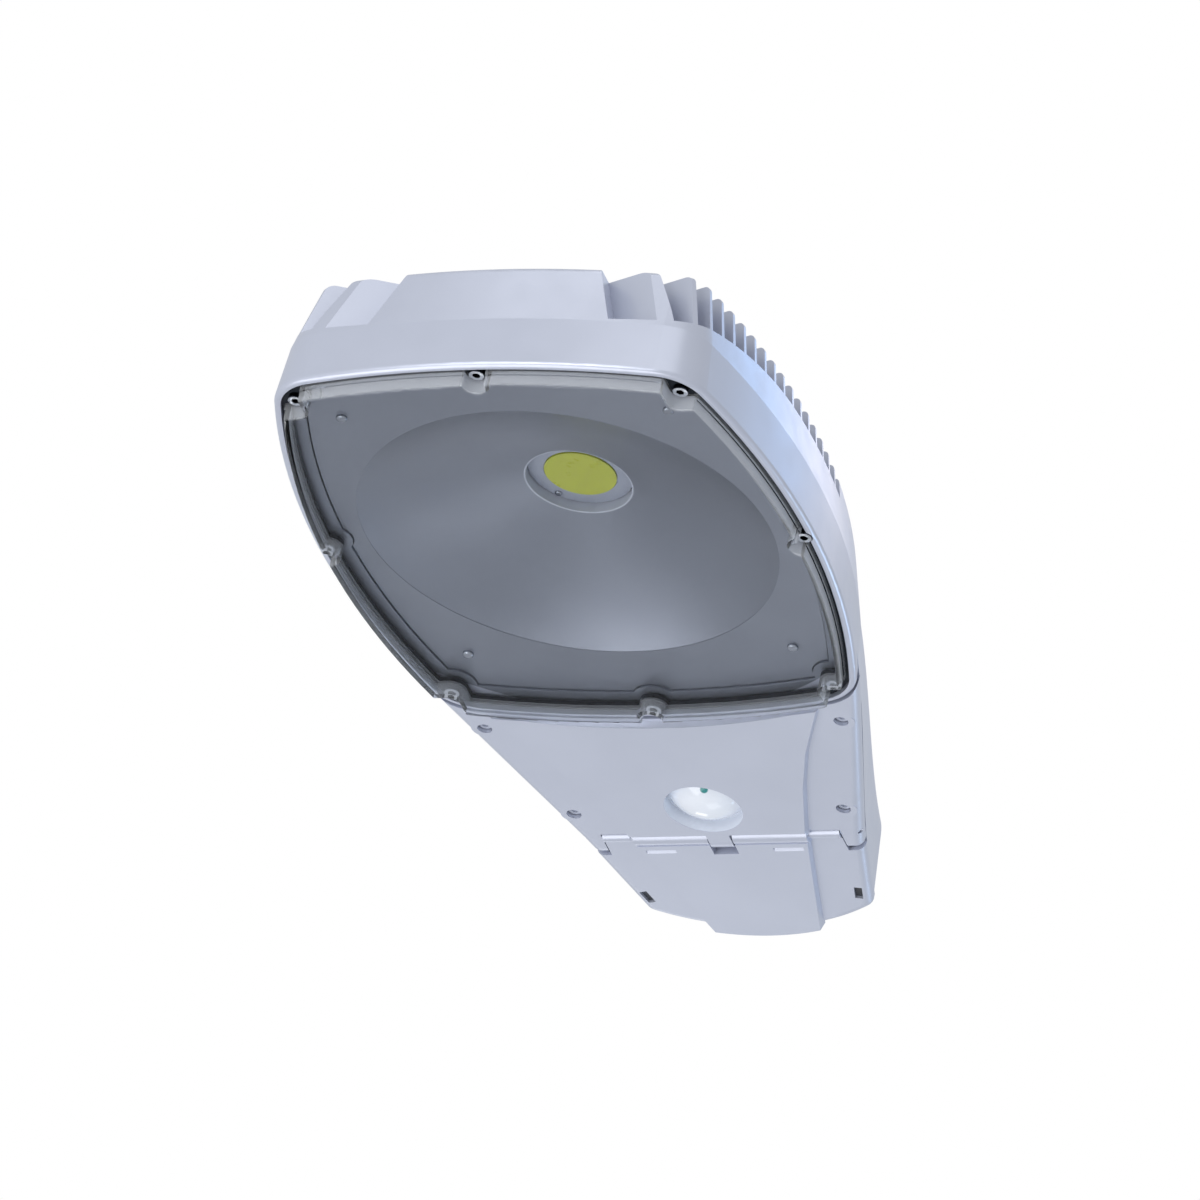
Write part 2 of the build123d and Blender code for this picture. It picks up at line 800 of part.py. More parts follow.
# Cable grommet in the bulkhead
with BuildPart() as cable_grommet:
    with BuildSketch(across(bulkhead_front_y)):
        with Locations((-30, 30)):
            Circle(9)
    extrude(amount=bulkhead_front_y - bulkhead_rear_y)
    for face_y in (bulkhead_front_y, bulkhead_rear_y + 1.5):
        with BuildSketch(across(face_y)):
            with Locations((-30, 30)):
                Circle(11)
        extrude(amount=1.5)
    with BuildSketch(across(bulkhead_front_y - 3)):
        with Locations((-30, 30)):
            Circle(5.5)
    extrude(amount=-16, mode=Mode.SUBTRACT)
cable_grommet.part.label = "cable_grommet"
export_step(cable_grommet.part, "parts/cable_grommet.step")

# Driver cover under the arm
def cover_plan(height, inset=0.0, rear=cover_rear_y):
    """Plan of the driver cover, its front edge following the rim of the window."""
    strip = arm_strip(height - 1, cover_front_y - 19, rear - inset, inset)
    rim = window(height - 1, -(rim_width + cover_gap + inset))
    with BuildPart() as blank:
        extrude(strip, amount=1)
        extrude(rim, amount=1, mode=Mode.SUBTRACT)
    return blank.faces().sort_by(Axis.Z)[-1]


def plateau_plan(height, inset=0.0):
    """Plan of the raised panel of the driver cover."""
    sides = [
        (panel_half_at_hinge - inset, hinge_line_y - 8),
        (62 - inset, hinge_line_y - 50),
        (73.6 - inset, hinge_line_y - 83),
        (84.4 - inset, hinge_line_y - 106.5),
    ]
    front = (cover_front_half - 24.2 - 1.6 * inset, cover_front_y + 3 + inset)
    left = [(-x, y) for x, y in reversed(sides)]
    with BuildSketch(level(height)) as plan:
        with BuildLine():
            Polyline((-sides[0][0], cover_rear_y), (sides[0][0], cover_rear_y), *sides, front)
            ThreePointArc(front, (0, cover_front_y + 17.5 + inset), (-front[0], front[1]))
            Polyline((-front[0], front[1]), *left, (-sides[0][0], cover_rear_y))
        make_face()
    return plan.sketch


cover_outline = cover_plan(flat_level)
cover_hollow = cover_plan(flat_level + cover_wall, cover_side_wall)
panel_outline = plateau_plan(plateau_level)
panel_foot = plateau_plan(flat_level + 1, -2)
panel_hollow = plateau_plan(plateau_level + cover_wall, 3)
cover_pads = discs(flat_level, cover_places, 7.5)
cover_sinks = discs(flat_level - 1, cover_places, head_radius)
cover_holes = discs(flat_level - 1, cover_places, screw_hole)
rim_room = window(plateau_level - 1, -(rim_width + cover_gap))
recess_wall = discs(plateau_level, dome_place, sensor_recess + sensor_wall)
recess = discs(plateau_level - 1, dome_place, sensor_recess)
recess_hole = discs(plateau_level - 1, dome_place, dome_radius - 3)
recess_floor = plateau_level + sensor_depth
barrel_front_y = hinge_y - (hinge_z - plateau_level) - slit
barrel_room = oblong(plateau_level - 1, 2 * panel_half_at_hinge + 0.2, 12, barrel_front_y + 6)
ear_root = cover_rear_y - 7
ear_outer = arm_half(ear_end) - 0.3
with BuildSketch(level(flat_level)) as ears:
    with BuildLine():
        Polyline(
            (arm_half(ear_root), ear_root),
            (arm_half(hinge_line_y), hinge_line_y),
            (ear_outer, ear_end),
            (ear_inner, ear_end),
            (ear_inner, ear_root),
            close=True,
        )
    make_face()
    fillet(ears.vertices().group_by(Axis.Y)[-1].sort_by(Axis.X)[-1], 5)
    mirror(about=Plane.YZ)
with BuildPart() as tab_shape:
    with BuildSketch(along(-tab_half)):
        with BuildLine():
            Polyline(
                (tab_end, hinge_z),
                (tab_end, cover_top - 1),
                (cover_rear_y - 6, cover_top - 1),
                (cover_rear_y - 6, plateau_level),
                (hinge_y, plateau_level),
            )
            ThreePointArc(
                (hinge_y, plateau_level),
                (hinge_y + 0.72 * (tab_end - hinge_y), plateau_level + 1.75),
                (tab_end, hinge_z),
            )
        make_face()
    extrude(amount=2 * tab_half)
with BuildPart() as cover_shape:
    extrude(cover_outline, amount=cover_top - flat_level)
    extrude(ears.sketch, amount=cover_top - flat_level)
    outer_edges = [
        e
        for e in cover_shape.faces().sort_by(Axis.Z)[0].edges()
        if abs(e.center().X) > ear_inner + 0.5 and e.center().Y > -optic_to_clamp + cover_front_y
    ]
    fillet(outer_edges, edge_round)
with BuildPart() as driver_cover:
    add(cover_shape.part)
    loft([panel_outline, panel_foot], ruled=True)
    extrude(rim_room, amount=20, mode=Mode.SUBTRACT)
    extrude(cover_hollow, amount=10, mode=Mode.SUBTRACT)
    extrude(panel_hollow, amount=6, mode=Mode.SUBTRACT)
    extrude(cover_pads, amount=lip_height - flat_level)
    extrude(barrel_room, amount=20, mode=Mode.SUBTRACT)
    add(tab_shape.part)
    extrude(recess_wall, amount=sensor_depth + 2.5)
    extrude(recess, amount=sensor_depth + 1, mode=Mode.SUBTRACT)
    extrude(recess_hole, amount=20, mode=Mode.SUBTRACT)
    extrude(cover_sinks, amount=cover_seat - flat_level + 1, mode=Mode.SUBTRACT)
    extrude(cover_holes, amount=12, mode=Mode.SUBTRACT)
    with BuildSketch(Plane(origin=(-100, 0, 0), x_dir=(0, 1, 0), z_dir=(1, 0, 0))):
        with Locations((hinge_y - optic_to_clamp, hinge_z - pipe_height)):
            Circle(hinge_pin_radius)
    extrude(amount=200, mode=Mode.SUBTRACT)
driver_cover.part.label = "driver_cover"
export_step(driver_cover.part, "parts/driver_cover.step")

seal_rear_y = hinge_y - 6.2
seal_ring_outer = cover_plan(cover_top, 1.5, seal_rear_y)
seal_ring_inner = cover_plan(cover_top, 4.0, seal_rear_y)
pad_room = discs(cover_top - 1, cover_places, 7.8)
with BuildPart() as cover_gasket:
    extrude(seal_ring_outer, amount=lip_height - cover_top)
    extrude(seal_ring_inner, amount=lip_height - cover_top, mode=Mode.SUBTRACT)
    extrude(pad_room, amount=4, mode=Mode.SUBTRACT)
cover_gasket.part.label = "cover_gasket"
export_step(cover_gasket.part, "parts/cover_gasket.step")

cover_screw_set = socket_screws(
    cover_places, cover_seat, cover_head, cover_head_radius, screw_radius, 16
)
with BuildPart() as cover_screws:
    add(cover_screw_set)
cover_screws.part.label = "cover_screws"
export_step(cover_screws.part, "parts/cover_screws.step")

# Sensor dome and its board
with BuildPart() as sensor_dome:
    with BuildSketch(along(0)):
        with BuildLine():
            ThreePointArc(
                (sensor_y, plateau_level - 1.2),
                (sensor_y + 0.66 * dome_radius, plateau_level + 1.6),
                (sensor_y + dome_radius, recess_floor - 1.2),
            )
            Polyline(
                (sensor_y + dome_radius, recess_floor - 1.2),
                (sensor_y + dome_radius, recess_floor),
                (sensor_y + dome_radius - 3.2, recess_floor),
                (sensor_y + dome_radius - 3.2, recess_floor + 2.5),
                (sensor_y, recess_floor + 2.5),
                (sensor_y, plateau_level - 1.2),
            )
        make_face()
    revolve(axis=Axis((0, sensor_y - optic_to_clamp, 0), (0, 0, 1)))
sensor_dome.part.label = "sensor_dome"
export_step(sensor_dome.part, "parts/sensor_dome.step")

board_disc = discs(recess_floor + 2.5, dome_place, dome_radius - 1)
with BuildPart() as sensor_board:
    extrude(board_disc, amount=1.6)
sensor_board.part.label = "sensor_board"
export_step(sensor_board.part, "parts/sensor_board.step")

# Wiring door with its rolled hinge edge
door_outline = tail_plan(flat_level, hinge_y)
door_hollow = tail_plan(flat_level + cover_wall, hinge_y + 9, cover_side_wall)
panel_clip = tail_plan(plateau_level, hinge_y + 2, 0.1)
panel_front = hinge_y + 2.8
with BuildSketch(level(plateau_level)) as door_panel:
    with BuildLine():
        Polyline((-48.4, panel_front), (48.4, panel_front), (29, tail_y), (-29, tail_y), close=True)
    make_face()
with BuildSketch(level(flat_level + 1)) as door_panel_foot:
    with BuildLine():
        Polyline((-50, panel_front), (50, panel_front), (31, tail_y), (-31, tail_y), close=True)
    make_face()
with BuildSketch(level(plateau_level + cover_wall)) as door_panel_hollow:
    with BuildLine():
        Polyline(
            (-42, hinge_y + 17),
            (42, hinge_y + 17),
            (26, tail_y - 12),
            (-26, tail_y - 12),
            close=True,
        )
    make_face()
with BuildPart() as panel_shape:
    loft([door_panel.sketch, door_panel_foot.sketch], ruled=True)
    extrude(panel_clip, amount=20, mode=Mode.INTERSECT)
ear_room = [
    oblong(flat_level - 8, 40, 60, ear_end + slit - 30, side * (ear_inner - slit + 20))
    for side in (-1, 1)
]
tab_room = oblong(flat_level - 8, 2 * (tab_half + slit), 60, tab_end + 1.4 - 30)
latch_y = hinge_line_y + 55.5
latch_x = arm_half(latch_y) - 7.0
latch_turn = 12.9
with BuildSketch(level(flat_level - 3)) as latch_rooms:
    for side in (-1, 1):
        with Locations((side * latch_x, latch_y)):
            Rectangle(4.4, 10.4, rotation=side * latch_turn)
with BuildSketch(level(flat_level + 1.6)) as latch_shapes:
    for side in (-1, 1):
        with Locations((side * latch_x, latch_y)):
            Rectangle(4.0, 10.0, rotation=side * latch_turn)
with BuildPart() as finger_grooves:
    for side in (-1, 1):
        with BuildSketch(along(side * 36.2 - 8.5)):
            with BuildLine():
                Polyline(
                    (hinge_y + 6.2, plateau_level - 1),
                    (hinge_y + 6.6, plateau_level + 1.6),
                    (hinge_y + 9.4, plateau_level),
                    (hinge_y + 9.4, plateau_level - 1),
                    close=True,
                )
            make_face()
        extrude(amount=17)
with BuildPart() as terminal_door:
    extrude(door_outline, amount=cover_top - flat_level)
    door_edges = [
        e
        for e in terminal_door.faces().sort_by(Axis.Z)[0].edges().filter_by(GeomType.LINE)
        if abs(e.center().X) > 50
    ]
    fillet(door_edges, edge_round - 0.4)
    extrude(door_hollow, amount=10, mode=Mode.SUBTRACT)
    add(panel_shape.part)
    extrude(door_panel_hollow.sketch, amount=6, mode=Mode.SUBTRACT)
    for half, size in (
        (ear_inner - slit, barrel_radius),
        (panel_half_at_hinge - slit, hinge_z - plateau_level),
    ):
        with BuildSketch(Plane(origin=(-half, 0, 0), x_dir=(0, 1, 0), z_dir=(1, 0, 0))):
            with Locations((hinge_y - optic_to_clamp, hinge_z - pipe_height)):
                Circle(size)
        extrude(amount=2 * half)
    extrude(ear_room[0], amount=20, mode=Mode.SUBTRACT)
    extrude(ear_room[1], amount=20, mode=Mode.SUBTRACT)
    extrude(tab_room, amount=20, mode=Mode.SUBTRACT)
    add(finger_grooves.part, mode=Mode.SUBTRACT)
    extrude(latch_rooms.sketch, amount=20, mode=Mode.SUBTRACT)
    with BuildSketch(Plane(origin=(-100, 0, 0), x_dir=(0, 1, 0), z_dir=(1, 0, 0))):
        with Locations((hinge_y - optic_to_clamp, hinge_z - pipe_height)):
            Circle(hinge_pin_radius + pin_clearance)
    extrude(amount=200, mode=Mode.SUBTRACT)
terminal_door.part.label = "terminal_door"
export_step(terminal_door.part, "parts/terminal_door.step")

with BuildPart() as door_latches:
    extrude(latch_shapes.sketch, amount=6.2)
door_latches.part.label = "door_latches"
export_step(door_latches.part, "parts/door_latches.step")

with BuildPart() as hinge_pin:
    with BuildSketch(Plane(origin=(-76, 0, 0), x_dir=(0, 1, 0), z_dir=(1, 0, 0))):
        with Locations((hinge_y - optic_to_clamp, hinge_z - pipe_height)):
            Circle(hinge_pin_radius)
    extrude(amount=152)
hinge_pin.part.label = "hinge_pin"
export_step(hinge_pin.part, "parts/hinge_pin.step")

# Clamp strap for the lamp post's arm, with its bolts
with BuildPart() as pipe_clamp:
    with BuildSketch(across(optic_to_clamp - 0.5 * clamp_length)):
        with Locations((0, pipe_height)):
            Circle(pipe_radius + clamp_clearance + clamp_wall)
        with Locations((0, wiring_roof - clamp_gap - 0.5 * clamp_ear)):
            Rectangle(2 * bolt_x + 18, clamp_ear)
        with Locations((0, pipe_height)):
            Circle(pipe_radius + clamp_clearance, mode=Mode.SUBTRACT)
        with Locations((0, wiring_roof - clamp_gap + 30)):
            Rectangle(120, 60, mode=Mode.SUBTRACT)
    extrude(amount=-clamp_length)
    with BuildSketch(level(30)):
        with Locations(*bolt_places):
            Circle(bolt_radius + 0.3)
    extrude(amount=30, mode=Mode.SUBTRACT)
pipe_clamp.part.label = "pipe_clamp"
export_step(pipe_clamp.part, "parts/pipe_clamp.step")

bolt_seat = wiring_roof - clamp_gap - clamp_ear
with BuildPart() as clamp_bolts:
    with BuildSketch(level(bolt_seat - 4)):
        with Locations(*bolt_places):
            RegularPolygon(5.2, 6)
    extrude(amount=4)
    with BuildSketch(level(bolt_seat)):
        with Locations(*bolt_places):
            Circle(bolt_radius)
    extrude(amount=23)
clamp_bolts.part.label = "clamp_bolts"
export_step(clamp_bolts.part, "parts/clamp_bolts.step")
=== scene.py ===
from math import asin, cos, pi, sin

import bpy
from mathutils import Matrix, Vector


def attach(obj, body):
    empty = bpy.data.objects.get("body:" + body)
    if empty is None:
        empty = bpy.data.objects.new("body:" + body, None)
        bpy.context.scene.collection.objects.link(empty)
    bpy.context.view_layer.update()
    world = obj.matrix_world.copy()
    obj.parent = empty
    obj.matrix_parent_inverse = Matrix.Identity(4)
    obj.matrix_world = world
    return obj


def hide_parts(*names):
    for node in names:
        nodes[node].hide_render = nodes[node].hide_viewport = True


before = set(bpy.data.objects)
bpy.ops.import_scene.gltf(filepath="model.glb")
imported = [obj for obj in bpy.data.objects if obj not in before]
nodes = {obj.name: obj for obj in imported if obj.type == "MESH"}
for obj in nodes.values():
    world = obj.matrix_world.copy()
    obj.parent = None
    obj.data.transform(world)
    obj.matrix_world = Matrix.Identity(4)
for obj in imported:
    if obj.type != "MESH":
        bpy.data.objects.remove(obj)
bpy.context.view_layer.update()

# Places on the part, in metres in its own frame
window_centre = (0, -0.325, 0)
sensor_centre = (0, -0.0755, 0)
teal_centre = (0.0045, -0.0905, -0.0435)

# Outline of the lamp chamber: four arcs, and a circle that rounds the corners between them
arc_radius = 0.4862
arc_shift_x = 0.350
arc_shift_y = 0.324
corner_circle_radius = 0.1720
outline_fade = 0.0006

# Heights over which a colour changes: where the change starts and where it is complete
chamber_shade_heights = (-0.0150, -0.0160)
recess_heights = (-0.0456, -0.0454)
socket_shade_heights = (-0.0424, -0.0415)
flange_heights = (-0.0398, -0.0396)

# Distances from a centre over which a colour fades out: whole inside, gone outside
lip_highlight_radii = (0.0292, 0.0300)
recess_radii = (0.0216, 0.0219)
teal_radii = (0.0022, 0.0028)

# What every finish shares: patches per metre of its unevenness, and the roughness of a coat
colour_patches = 14
gloss_patches = 70
coat_roughness = 0.08

# Window: light hardly bends in it, and its walls are milkier than its face
window_ior = 1.12
wall_slope = 0.3
face_slope = 0.9


def linear(r, g, b):
    """Linear colour from the eight-bit one that a surface should show."""
    out = []
    for c in (r, g, b):
        c = c / 255
        out.append(c / 12.92 if c <= 0.04045 else ((c + 0.055) / 1.055) ** 2.4)
    return (*out, 1.0)


def new_material(name):
    mat = bpy.data.materials.new(name)
    mat.use_nodes = True
    tree = mat.node_tree
    bsdf = tree.nodes["Principled BSDF"]
    return mat, tree, bsdf


def noise(tree, scale, detail=3.0, stretch=(1, 1, 1)):
    """Solid noise in the part's own frame; scale is in grains per metre."""
    coords = tree.nodes.new("ShaderNodeTexCoord")
    mapping = tree.nodes.new("ShaderNodeMapping")
    mapping.inputs["Scale"].default_value = stretch
    tex = tree.nodes.new("ShaderNodeTexNoise")
    tex.inputs["Scale"].default_value = scale
    tex.inputs["Detail"].default_value = detail
    tree.links.new(coords.outputs["Object"], mapping.inputs["Vector"])
    tree.links.new(mapping.outputs["Vector"], tex.inputs["Vector"])
    return tex.outputs["Fac"]


def spread(tree, value, first, second, start=0.3, end=0.7):
    """Maps start..end, if not given the usual reach of a noise, onto first..second."""
    node = tree.nodes.new("ShaderNodeMapRange")
    node.inputs["From Min"].default_value = start
    node.inputs["From Max"].default_value = end
    node.inputs["To Min"].default_value = first
    node.inputs["To Max"].default_value = second
    tree.links.new(value, node.inputs["Value"])
    return node.outputs["Result"]


def multiply(tree, first, second):
    node = tree.nodes.new("ShaderNodeMath")
    node.operation = "MULTIPLY"
    tree.links.new(first, node.inputs[0])
    tree.links.new(second, node.inputs[1])
    return node.outputs[0]


def blend_colours(tree, factor, first, second):
    """Goes from one plain colour to another."""
    node = tree.nodes.new("ShaderNodeMix")
    node.data_type = "RGBA"
    node.inputs["A"].default_value = first
    node.inputs["B"].default_value = second
    tree.links.new(factor, node.inputs["Factor"])
    return node.outputs["Result"]


def mix_in(tree, factor, first, second):
    """Goes from a colour output to a plain colour."""
    node = tree.nodes.new("ShaderNodeMix")
    node.data_type = "RGBA"
    tree.links.new(factor, node.inputs["Factor"])
    tree.links.new(first, node.inputs["A"])
    node.inputs["B"].default_value = second
    return node.outputs["Result"]


def bump(tree, bsdf, height, distance):
    node = tree.nodes.new("ShaderNodeBump")
    node.inputs["Distance"].default_value = distance
    tree.links.new(height, node.inputs["Height"])
    tree.links.new(node.outputs["Normal"], bsdf.inputs["Normal"])


def height_mask(tree, start, end):
    """Grey ramp over the height in the part's frame, 0 at the start and 1 at the end."""
    coords = tree.nodes.new("ShaderNodeTexCoord")
    split = tree.nodes.new("ShaderNodeSeparateXYZ")
    tree.links.new(coords.outputs["Object"], split.inputs[0])
    return spread(tree, split.outputs["Z"], 0, 1, start, end)


def round_mask(tree, centre, inner, outer, flat=False):
    """1 inside a ball, or inside an upright cylinder if flat, fading to 0 outside it."""
    coords = tree.nodes.new("ShaderNodeTexCoord")
    shift = tree.nodes.new("ShaderNodeVectorMath")
    shift.operation = "SUBTRACT"
    shift.inputs[1].default_value = centre
    tree.links.new(coords.outputs["Object"], shift.inputs[0])
    source = shift.outputs[0]
    if flat:
        press = tree.nodes.new("ShaderNodeVectorMath")
        press.operation = "MULTIPLY"
        press.inputs[1].default_value = (1, 1, 0)
        tree.links.new(source, press.inputs[0])
        source = press.outputs[0]
    size = tree.nodes.new("ShaderNodeVectorMath")
    size.operation = "LENGTH"
    tree.links.new(source, size.inputs[0])
    return spread(tree, size.outputs["Value"], 1, 0, inner, outer)


def finish_material(name, light, dark, rough, grain, depth, metallic=0.0, coat=0.0,
                    stretch=(1, 1, 1)):
    """Painted, moulded or bare surface with cloudy colour, uneven gloss and fine grain."""
    mat, tree, bsdf = new_material(name)
    clouds = spread(tree, noise(tree, colour_patches), 0, 1)
    tree.links.new(blend_colours(tree, clouds, dark, light), bsdf.inputs["Base Color"])
    gloss = spread(tree, noise(tree, gloss_patches), *rough)
    tree.links.new(gloss, bsdf.inputs["Roughness"])
    bump(tree, bsdf, noise(tree, grain, detail=2.0, stretch=stretch), depth)
    bsdf.inputs["Metallic"].default_value = metallic
    if coat:
        bsdf.inputs["Coat Weight"].default_value = coat
        bsdf.inputs["Coat Roughness"].default_value = coat_roughness
    return mat


def paint_over(mat, mask, colour):
    """Gives a finished material a second colour where the mask is 1."""
    tree = mat.node_tree
    base = tree.nodes["Principled BSDF"].inputs["Base Color"]
    tree.links.new(mix_in(tree, mask, base.links[0].from_socket, colour), base)


paint = finish_material("housing_paint", linear(203, 207, 221), linear(197, 201, 215),
                        rough=(0.29, 0.36), grain=1500, depth=0.000015, metallic=0.5)
cover = finish_material("cover_paint", linear(203, 207, 221), linear(198, 202, 216),
                        rough=(0.29, 0.36), grain=1500, depth=0.000015, metallic=0.5)
seal = finish_material("seal_rubber", linear(46, 49, 56), linear(38, 41, 47),
                       rough=(0.5, 0.65), grain=3000, depth=0.00001)
steel = finish_material("screw_steel", linear(176, 179, 186), linear(150, 153, 160),
                        rough=(0.16, 0.28), grain=4000, depth=0.000005, metallic=1.0)
white = finish_material("white_plastic", linear(226, 228, 232), linear(216, 218, 222),
                        rough=(0.4, 0.5), grain=2600, depth=0.00001)
ring = finish_material("ring_metal", linear(168, 172, 184), linear(156, 160, 172),
                       rough=(0.3, 0.4), grain=2600, depth=0.00001, metallic=0.2)
zinc = finish_material("cover_screw", linear(206, 210, 222), linear(196, 200, 212),
                       rough=(0.25, 0.35), grain=3000, depth=0.000005, metallic=0.3)
board = finish_material("board_metal", linear(205, 206, 205), linear(190, 191, 190),
                        rough=(0.35, 0.45), grain=3000, depth=0.000005, metallic=0.8)
pad = finish_material("pad_rubber", linear(150, 152, 156), linear(132, 134, 138),
                      rough=(0.6, 0.7), grain=2500, depth=0.00001)
driver = finish_material("driver_metal", linear(176, 178, 182), linear(160, 162, 166),
                         rough=(0.3, 0.42), grain=1800, depth=0.00001, metallic=0.9,
                         stretch=(1, 0.06, 1))
black = finish_material("dark_plastic", linear(52, 54, 60), linear(40, 42, 47),
                        rough=(0.42, 0.55), grain=2600, depth=0.00001)
green = finish_material("board_green", linear(46, 110, 74), linear(36, 92, 60),
                        rough=(0.3, 0.4), grain=2000, depth=0.000008)
cast = finish_material("clamp_metal", linear(184, 187, 193), linear(168, 171, 178),
                       rough=(0.4, 0.55), grain=700, depth=0.00005, metallic=0.8)
phosphor = finish_material("phosphor", linear(184, 188, 50), linear(178, 183, 46),
                           rough=(0.25, 0.35), grain=2600, depth=0.00001, coat=0.3)

# Painted shade: the lamp chamber is painted darker than the rest of the housing, in place of
# the shade that falls inside it
tree = paint.node_tree
centre_x, centre_y, centre_z = window_centre
chamber_rounds = (
    ((centre_x - arc_shift_x, centre_y, centre_z), arc_radius),
    ((centre_x + arc_shift_x, centre_y, centre_z), arc_radius),
    ((centre_x, centre_y - arc_shift_y, centre_z), arc_radius),
    ((centre_x, centre_y + arc_shift_y, centre_z), arc_radius),
    (window_centre, corner_circle_radius),
)
chamber_shade = height_mask(tree, *chamber_shade_heights)
for centre, reach in chamber_rounds:
    inside = round_mask(tree, centre, reach - outline_fade, reach, flat=True)
    chamber_shade = multiply(tree, chamber_shade, inside)
paint_over(paint, chamber_shade, linear(128, 132, 142))

# The recess of the sensor is lined in white plastic
tree = cover.node_tree
recess_plan = round_mask(tree, sensor_centre, *recess_radii, flat=True)
recess = multiply(tree, recess_plan, height_mask(tree, *recess_heights))
paint_over(cover, recess, linear(228, 233, 243))
tree.links.new(spread(tree, recess, 0.5, 0.0, start=0, end=1),
               tree.nodes["Principled BSDF"].inputs["Metallic"])

# Screws of the window: bright heads, with painted shade that makes their sockets dark
screw, tree, bsdf = new_material("window_screw")
shade = blend_colours(tree, height_mask(tree, *socket_shade_heights), linear(205, 208, 214),
                      linear(44, 46, 50))
tree.links.new(shade, bsdf.inputs["Base Color"])
tree.links.new(spread(tree, noise(tree, 400), 0.12, 0.24), bsdf.inputs["Roughness"])
bump(tree, bsdf, noise(tree, 4000), 0.000005)
bsdf.inputs["Metallic"].default_value = 1.0

# Reflector: pressed bright sheet, with a painted highlight that makes the lip round the
# emitter lighter; the lip is also duller
bowl, tree, bsdf = new_material("bowl_metal")
sheet_tint = blend_colours(tree, spread(tree, noise(tree, 9), 0, 1), linear(144, 147, 156),
                           linear(152, 155, 164))
lip_highlight = round_mask(tree, window_centre, *lip_highlight_radii, flat=True)
tree.links.new(mix_in(tree, lip_highlight, sheet_tint, linear(196, 199, 208)), bsdf.inputs["Base Color"])
tree.links.new(spread(tree, lip_highlight, 1.0, 0.1, start=0, end=1), bsdf.inputs["Metallic"])
tree.links.new(spread(tree, noise(tree, 40), 0.38, 0.44), bsdf.inputs["Roughness"])
bump(tree, bsdf, noise(tree, 12, detail=1.0), 0.00004)

# Sensor dome: glossy white, with a small teal mark near its front
dome, tree, bsdf = new_material("dome_plastic")
milk = blend_colours(tree, spread(tree, noise(tree, 40), 0, 1), linear(243, 246, 252),
                     linear(237, 241, 249))
teal = round_mask(tree, teal_centre, *teal_radii)
tree.links.new(mix_in(tree, teal, milk, linear(30, 140, 138)), bsdf.inputs["Base Color"])
tree.links.new(spread(tree, noise(tree, 60), 0.14, 0.2), bsdf.inputs["Roughness"])
bump(tree, bsdf, noise(tree, 3000), 0.000003)
bsdf.inputs["Coat Weight"].default_value = 1.0
bsdf.inputs["Coat Roughness"].default_value = 0.06

# Window: clear pane; its moulded walls are a little milky, its flange lies in the dark seal
glass, tree, bsdf = new_material("clear_window")
flange = height_mask(tree, *flange_heights)
tree.links.new(blend_colours(tree, flange, linear(248, 250, 253), linear(40, 43, 49)),
               bsdf.inputs["Base Color"])
bsdf.inputs["IOR"].default_value = window_ior
coords = tree.nodes.new("ShaderNodeTexCoord")
split = tree.nodes.new("ShaderNodeSeparateXYZ")
tree.links.new(coords.outputs["Normal"], split.inputs[0])
facing = tree.nodes.new("ShaderNodeMath")
facing.operation = "ABSOLUTE"
tree.links.new(split.outputs["Z"], facing.inputs[0])
clear = multiply(tree, spread(tree, facing.outputs[0], 0.78, 1.0, wall_slope, face_slope),
                 spread(tree, flange, 1.0, 0.0, start=0, end=1))
tree.links.new(clear, bsdf.inputs["Transmission Weight"])
tree.links.new(spread(tree, facing.outputs[0], 0.07, 0.0, wall_slope, face_slope),
               bsdf.inputs["Roughness"])
bump(tree, bsdf, noise(tree, 60, detail=1.0), 0.00001)

finishes = {
    "housing": paint,
    "lens": glass,
    "lens_gasket": seal,
    "lens_screws": screw,
    "reflector": bowl,
    "reflector_screws": steel,
    "emitter": phosphor,
    "emitter_ring": ring,
    "emitter_board": board,
    "thermal_pad": pad,
    "emitter_screws": steel,
    "driver_case": driver,
    "driver_screws": steel,
    "terminal_block": white,
    "surge_protector": black,
    "block_screws": steel,
    "cable_grommet": seal,
    "driver_cover": cover,
    "cover_gasket": seal,
    "cover_screws": zinc,
    "sensor_dome": dome,
    "sensor_board": green,
    "terminal_door": cover,
    "door_latches": black,
    "hinge_pin": steel,
    "pipe_clamp": cast,
    "clamp_bolts": steel,
}
for name, mat in finishes.items():
    data = nodes[name].data
    data.materials.clear()
    data.materials.append(mat)


def turned(name, centre, profile, material, steps=96):
    """Mesh turned about an upright axis from a profile of radius and height, in metres."""
    points = []
    faces = []
    for radius, height in profile:
        for step in range(steps):
            angle = 2 * pi * step / steps
            x = centre[0] + radius * cos(angle)
            y = centre[1] + radius * sin(angle)
            points.append((x, y, height))
    for row in range(len(profile) - 1):
        for step in range(steps):
            near = row * steps + step
            beside = row * steps + (step + 1) % steps
            faces.append((near, beside, beside + steps, near + steps))
    mesh = bpy.data.meshes.new(name)
    mesh.from_pydata(points, [], faces)
    mesh.materials.append(material)
    for face in mesh.polygons:
        face.use_smooth = True
    piece = bpy.data.objects.new(name, mesh)
    bpy.context.collection.objects.link(piece)
    return piece


# Sensor dome: a cap, cut from a ball, that nearly fills its recess
cap_radius = 0.0206
cap_height = 0.0093
cap_foot = -0.0377
cap_tip = cap_foot - cap_height
cap_tip_radius = 0.00001
cap_rows = 24
ball = (cap_radius**2 + cap_height**2) / (2 * cap_height)
rim_angle = asin(cap_radius / ball)
cap_profile = []
for row in range(cap_rows + 1):
    angle = rim_angle * (1 - row / cap_rows)
    radius = max(ball * sin(angle), cap_tip_radius)
    cap_profile.append((radius, cap_tip + ball * (1 - cos(angle))))
cap = turned("sensor_cap", sensor_centre, cap_profile, dome)
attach(cap, "head")
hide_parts("sensor_dome")

